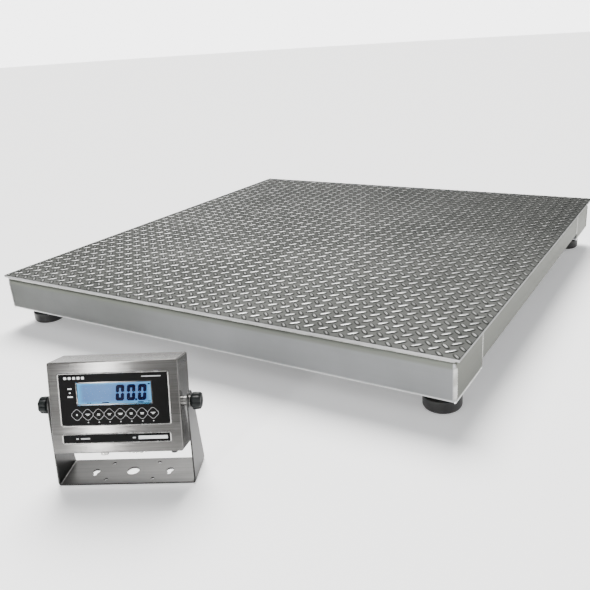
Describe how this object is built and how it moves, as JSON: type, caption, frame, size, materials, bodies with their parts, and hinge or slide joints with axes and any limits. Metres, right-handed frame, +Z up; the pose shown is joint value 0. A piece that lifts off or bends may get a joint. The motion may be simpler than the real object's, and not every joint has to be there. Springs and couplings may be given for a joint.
{
  "type": "pallet scale",
  "caption": "Low square platform scale with a tread-plate deck on levelling feet, and a separate tilting weight indicator with a lit display in a U-shaped bracket.",
  "frame": {"origin": "on the floor, under the middle of the deck", "axes": "+Z up; +X to the right along the front edge, seen from the side where the indicator stands; +Y to the back"},
  "size_m": [1.22, 1.6582, 0.2127],
  "materials": {
    "tread_plate": "rolled tread plate, matt stainless",
    "frame_steel": "blasted stainless sheet, soft sheen",
    "machined_steel": "machined and plated steel",
    "cell_steel": "nickel-plated alloy steel, satin",
    "foot_rubber": "moulded black rubber",
    "box_steel": "satin stainless",
    "seal_rubber": "sponge rubber",
    "circuit_board": "green solder mask",
    "gland_plastic": "black nylon",
    "cable_sheath": "grey-black sheath",
    "brushed_stainless": "brushed stainless sheet",
    "bracket_stainless": "brushed stainless sheet, darker",
    "panel_film": "black printed film",
    "window_film": "clear window",
    "display": "blue back-lit liquid crystal",
    "knob_plastic": "black moulded plastic",
    "plated_steel": "bright zinc-nickel plating",
    "port_insulator": "dark red insulator"
  },
  "bodies": {
    "platform": {"deck_plate": "tread_plate", "front_rail": "frame_steel", "rear_rail": "frame_steel", "rail_end_caps": "frame_steel", "left_rail": "frame_steel", "right_rail": "frame_steel", "deck_joists": "frame_steel", "cell_mounts": "machined_steel", "load_cell_bolts": "machined_steel", "foot_lock_nuts": "machined_steel", "junction_box": "box_steel", "junction_box_lid": "box_steel", "junction_box_gasket": "seal_rubber", "junction_box_screws": "plated_steel", "summing_board": "circuit_board", "cable_glands": "gland_plastic", "cell_cables": "cable_sheath", "load_cell_front_left": "cell_steel", "load_cell_front_right": "cell_steel", "load_cell_rear_left": "cell_steel", "load_cell_rear_right": "cell_steel"},
    "foot_front_left": {"foot_pad_front_left": "foot_rubber"},
    "stem_front_left": {"foot_stem_front_left": "machined_steel"},
    "foot_front_right": {"foot_pad_front_right": "foot_rubber"},
    "stem_front_right": {"foot_stem_front_right": "machined_steel"},
    "foot_rear_left": {"foot_pad_rear_left": "foot_rubber"},
    "stem_rear_left": {"foot_stem_rear_left": "machined_steel"},
    "foot_rear_right": {"foot_pad_rear_right": "foot_rubber"},
    "stem_rear_right": {"foot_stem_rear_right": "machined_steel"},
    "indicator_bracket": {"bracket": "bracket_stainless"},
    "indicator_housing": {"housing_shell": "brushed_stainless", "rear_cover": "brushed_stainless", "cover_gasket": "seal_rubber", "cover_screws": "plated_steel", "keypad_overlay": "panel_film", "display_window": "window_film", "lcd_module": "display", "label_strip": "panel_film", "main_board": "circuit_board", "power_board": "circuit_board", "pivot_bosses": "plated_steel", "signal_gland": "plated_steel", "serial_port": "plated_steel", "serial_insert": "port_insulator", "power_gland": "gland_plastic"},
    "knob_washer_left": {"knob_washer_left": "plated_steel"},
    "knob_left": {"knob_left": "knob_plastic", "knob_stud_left": "plated_steel"},
    "knob_washer_right": {"knob_washer_right": "plated_steel"},
    "knob_right": {"knob_right": "knob_plastic", "knob_stud_right": "plated_steel"},
    "key_1": {"key_1": "panel_film"},
    "key_2": {"key_2": "panel_film"},
    "key_3": {"key_3": "panel_film"},
    "key_4": {"key_4": "panel_film"},
    "key_5": {"key_5": "panel_film"},
    "key_6": {"key_6": "panel_film"},
    "key_7": {"key_7": "panel_film"},
    "key_8": {"key_8": "panel_film"}
  },
  "joints": [
    {"name": "foot_front_left_travel", "type": "slide", "parent": "platform", "child": "foot_front_left", "axis": [0, 0, 1], "range_m": [-0.01, 0]},
    {"name": "stem_front_left_turn", "type": "hinge", "parent": "foot_front_left", "child": "stem_front_left", "pos_m": [-0.554, -0.543, 0.015], "axis": [0, 0, -1], "range_deg": [0, 1800]},
    {"name": "foot_front_right_travel", "type": "slide", "parent": "platform", "child": "foot_front_right", "axis": [0, 0, 1], "range_m": [-0.01, 0]},
    {"name": "stem_front_right_turn", "type": "hinge", "parent": "foot_front_right", "child": "stem_front_right", "pos_m": [0.554, -0.543, 0.015], "axis": [0, 0, -1], "range_deg": [0, 1800]},
    {"name": "foot_rear_left_travel", "type": "slide", "parent": "platform", "child": "foot_rear_left", "axis": [0, 0, 1], "range_m": [-0.01, 0]},
    {"name": "stem_rear_left_turn", "type": "hinge", "parent": "foot_rear_left", "child": "stem_rear_left", "pos_m": [-0.554, 0.53, 0.015], "axis": [0, 0, -1], "range_deg": [0, 1800]},
    {"name": "foot_rear_right_travel", "type": "slide", "parent": "platform", "child": "foot_rear_right", "axis": [0, 0, 1], "range_m": [-0.01, 0]},
    {"name": "stem_rear_right_turn", "type": "hinge", "parent": "foot_rear_right", "child": "stem_rear_right", "pos_m": [0.554, 0.53, 0.015], "axis": [0, 0, -1], "range_deg": [0, 1800]},
    {"name": "indicator_lift", "type": "slide", "parent": "platform", "child": "indicator_bracket", "axis": [0, 0, 1], "range_m": [0, 0.25]},
    {"name": "housing_tilt", "type": "hinge", "parent": "indicator_bracket", "child": "indicator_housing", "pos_m": [0.16, -0.96, 0.134], "axis": [0.887, 0.4617, 0], "range_deg": [-75, 105]},
    {"name": "knob_left_travel", "type": "slide", "parent": "indicator_housing", "child": "knob_washer_left", "axis": [-0.887, -0.4617, 0], "range_m": [0, 0.003]},
    {"name": "knob_left_turn", "type": "hinge", "parent": "knob_washer_left", "child": "knob_left", "pos_m": [0.16, -0.96, 0.134], "axis": [-0.887, -0.4617, 0], "range_deg": [0, 1080]},
    {"name": "knob_right_travel", "type": "slide", "parent": "indicator_housing", "child": "knob_washer_right", "axis": [0.887, 0.4617, 0], "range_m": [0, 0.003]},
    {"name": "knob_right_turn", "type": "hinge", "parent": "knob_washer_right", "child": "knob_right", "pos_m": [0.16, -0.96, 0.134], "axis": [0.887, 0.4617, 0], "range_deg": [0, 1080]},
    {"name": "key_1_press", "type": "slide", "parent": "indicator_housing", "child": "key_1", "axis": [-0.446, 0.8568, -0.2588], "range_m": [0, 0.00035], "stiffness_N_per_m": 6000},
    {"name": "key_2_press", "type": "slide", "parent": "indicator_housing", "child": "key_2", "axis": [-0.446, 0.8568, -0.2588], "range_m": [0, 0.00035], "stiffness_N_per_m": 6000},
    {"name": "key_3_press", "type": "slide", "parent": "indicator_housing", "child": "key_3", "axis": [-0.446, 0.8568, -0.2588], "range_m": [0, 0.00035], "stiffness_N_per_m": 6000},
    {"name": "key_4_press", "type": "slide", "parent": "indicator_housing", "child": "key_4", "axis": [-0.446, 0.8568, -0.2588], "range_m": [0, 0.00035], "stiffness_N_per_m": 6000},
    {"name": "key_5_press", "type": "slide", "parent": "indicator_housing", "child": "key_5", "axis": [-0.446, 0.8568, -0.2588], "range_m": [0, 0.00035], "stiffness_N_per_m": 6000},
    {"name": "key_6_press", "type": "slide", "parent": "indicator_housing", "child": "key_6", "axis": [-0.446, 0.8568, -0.2588], "range_m": [0, 0.00035], "stiffness_N_per_m": 6000},
    {"name": "key_7_press", "type": "slide", "parent": "indicator_housing", "child": "key_7", "axis": [-0.446, 0.8568, -0.2588], "range_m": [0, 0.00035], "stiffness_N_per_m": 6000},
    {"name": "key_8_press", "type": "slide", "parent": "indicator_housing", "child": "key_8", "axis": [-0.446, 0.8568, -0.2588], "range_m": [0, 0.00035], "stiffness_N_per_m": 6000}
  ],
  "couplings": [
    {"joint": "stem_front_left_turn", "follows": "foot_front_left_travel", "rad_per_m": -3141.6},
    {"joint": "stem_front_right_turn", "follows": "foot_front_right_travel", "rad_per_m": -3141.6},
    {"joint": "stem_rear_left_turn", "follows": "foot_rear_left_travel", "rad_per_m": -3141.6},
    {"joint": "stem_rear_right_turn", "follows": "foot_rear_right_travel", "rad_per_m": -3141.6},
    {"joint": "knob_left_turn", "follows": "knob_left_travel", "rad_per_m": 6283.2},
    {"joint": "knob_right_turn", "follows": "knob_right_travel", "rad_per_m": 6283.2}
  ]
}
